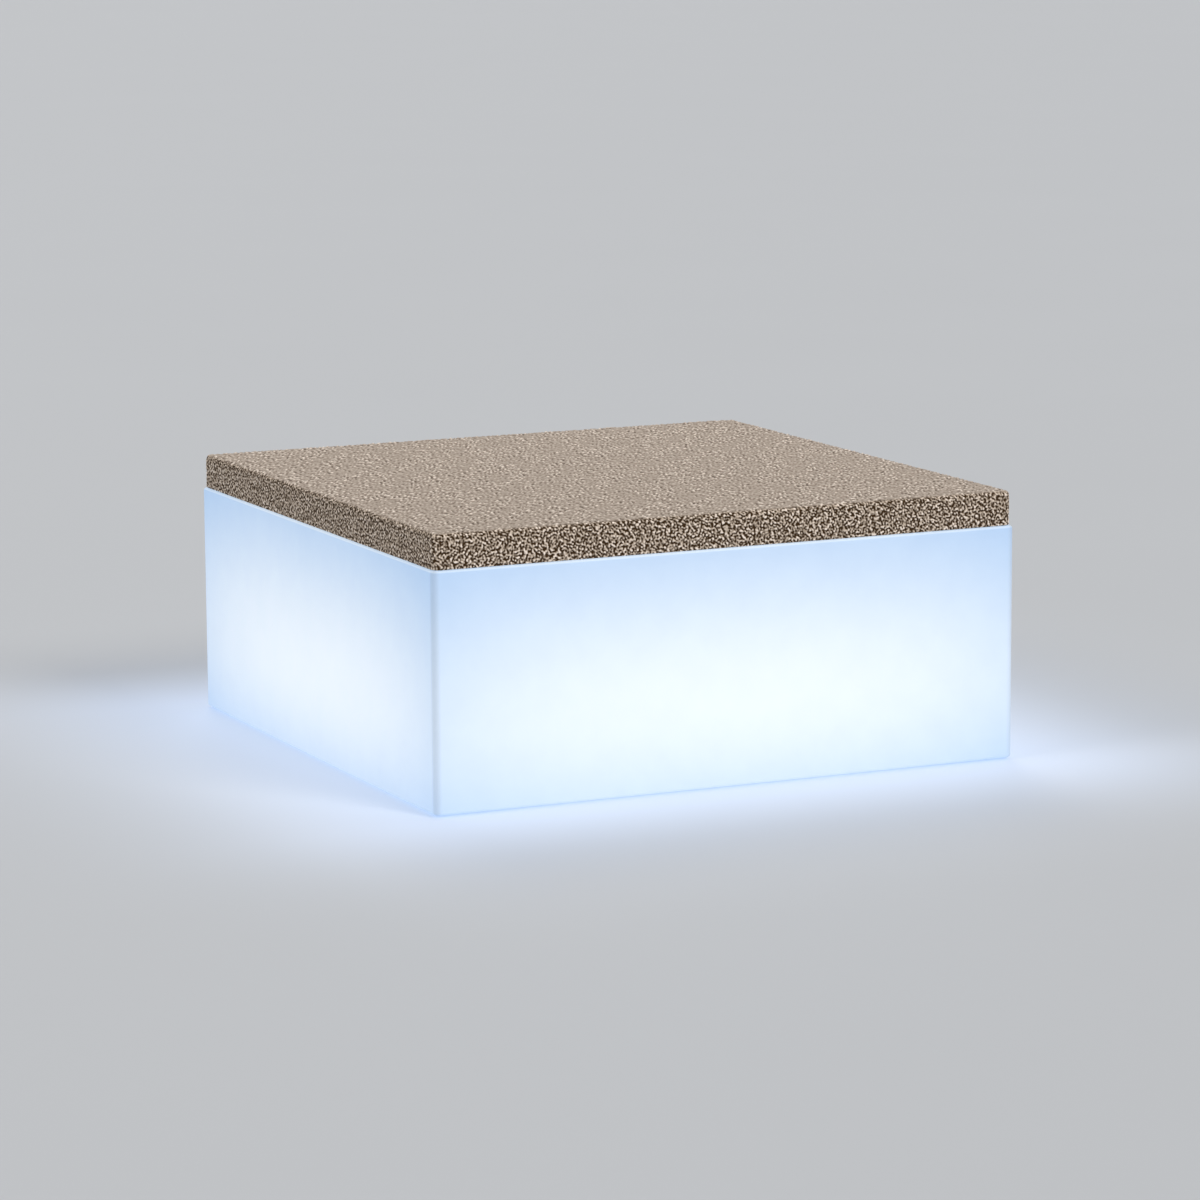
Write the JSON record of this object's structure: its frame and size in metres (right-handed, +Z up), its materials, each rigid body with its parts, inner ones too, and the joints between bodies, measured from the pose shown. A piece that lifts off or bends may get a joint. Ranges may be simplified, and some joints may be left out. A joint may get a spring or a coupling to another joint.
{
  "type": "led pouf",
  "caption": "Low square lounge pouf with a glowing moulded body, a flat boucle seat pad and a rechargeable lamp unit screwed into its underside.",
  "frame": {"origin": "on the floor, under the centre of the square plan", "axes": "+Z up; X runs along the front and Y to the back, where the seat pad's zip is"},
  "size_m": [1, 1, 0.4332],
  "materials": {
    "glow_plastic": "milky moulded polyethylene, satin",
    "black_rubber": "matt",
    "zinc_steel": "zinc plated",
    "brass": "turned",
    "grey_plastic": "fine texture",
    "black_plastic": "fine texture",
    "cell_steel": "shrink sleeve",
    "green_board": "solder mask",
    "aluminium": "sheet",
    "white_board": "white solder mask",
    "chip_yellow": "phosphor under clear resin",
    "white_plastic": "satin",
    "opal_plastic": "opal",
    "lead_jacket": "smooth jacket",
    "grey_tape": "hook and loop",
    "foam": "open cell foam",
    "boucle": "boucle cloth",
    "base_cloth": "plain woven cloth",
    "zip_cloth": "woven tape",
    "zip_plastic": "moulded teeth",
    "zip_metal": "satin lacquer"
  },
  "bodies": {
    "base": {"battery_cells": "cell_steel", "battery_lead": "lead_jacket", "battery_saddle": "zinc_steel", "battery_tray": "black_plastic", "board_parts": "black_plastic", "board_screws": "zinc_steel", "body_shell": "glow_plastic", "cap_hinge_pin": "zinc_steel", "cell_tabs": "zinc_steel", "charge_inlet": "black_plastic", "chip_board": "white_board", "chip_board_screws": "zinc_steel", "clamp_ring": "white_plastic", "clamp_screws": "zinc_steel", "control_board": "green_board", "diffuser_dome": "opal_plastic", "dome_seal": "black_rubber", "flange_inserts": "brass", "flange_screws": "zinc_steel", "glide_screws": "zinc_steel", "glides": "black_rubber", "hook_tapes": "grey_tape", "inlet_contact": "brass", "inlet_lead": "lead_jacket", "inlet_nut": "black_plastic", "inlet_seal": "black_rubber", "lamp_gasket": "black_rubber", "lamp_tub": "grey_plastic", "lead_grommet": "black_rubber", "light_chips": "chip_yellow", "light_lead": "lead_jacket", "light_plate": "aluminium", "light_terminal": "white_plastic", "pressure_vent": "black_plastic", "saddle_screws": "zinc_steel", "status_lens": "opal_plastic", "switch_barrel": "black_plastic", "switch_block": "black_plastic", "switch_lead": "lead_jacket", "switch_nut": "black_plastic", "switch_seal": "black_rubber", "switch_spring": "zinc_steel", "vent_nut": "black_plastic"},
    "power_button": {"power_button": "grey_plastic"},
    "inlet_cap": {"inlet_cap": "black_plastic"},
    "seat_pad": {"seat_foam": "foam", "cover_top": "boucle", "cover_band": "boucle", "cover_base": "base_cloth", "loop_tapes": "grey_tape", "zip_tape": "zip_cloth", "zip_teeth": "zip_plastic", "zip_stops": "zip_plastic"},
    "zip_slider": {"zip_slider": "zip_metal"},
    "zip_pull": {"zip_pull": "zip_metal"}
  },
  "joints": [
    {"name": "button_press", "type": "slide", "parent": "base", "child": "power_button", "axis": [0, 0, 1], "range_m": [0, 0.0015], "stiffness_N_per_m": 600, "springref_m": -0.002, "deforming": ["switch_spring"]},
    {"name": "cap_swing", "type": "hinge", "parent": "base", "child": "inlet_cap", "pos_m": [0.0391, -0.0555, 0.0183], "axis": [0, -1, 0], "range_deg": [0, 160]},
    {"name": "pad_lift", "type": "slide", "parent": "base", "child": "seat_pad", "axis": [0, 0, 1], "range_m": [0, 0.15]},
    {"name": "zip_run", "type": "slide", "parent": "seat_pad", "child": "zip_slider", "axis": [-1, 0, 0], "range_m": [0, 0.84]},
    {"name": "pull_swing", "type": "hinge", "parent": "zip_slider", "child": "zip_pull", "pos_m": [0.42, 0.4982, 0.4052], "axis": [0, 0, -1], "range_deg": [0, 165]}
  ]
}
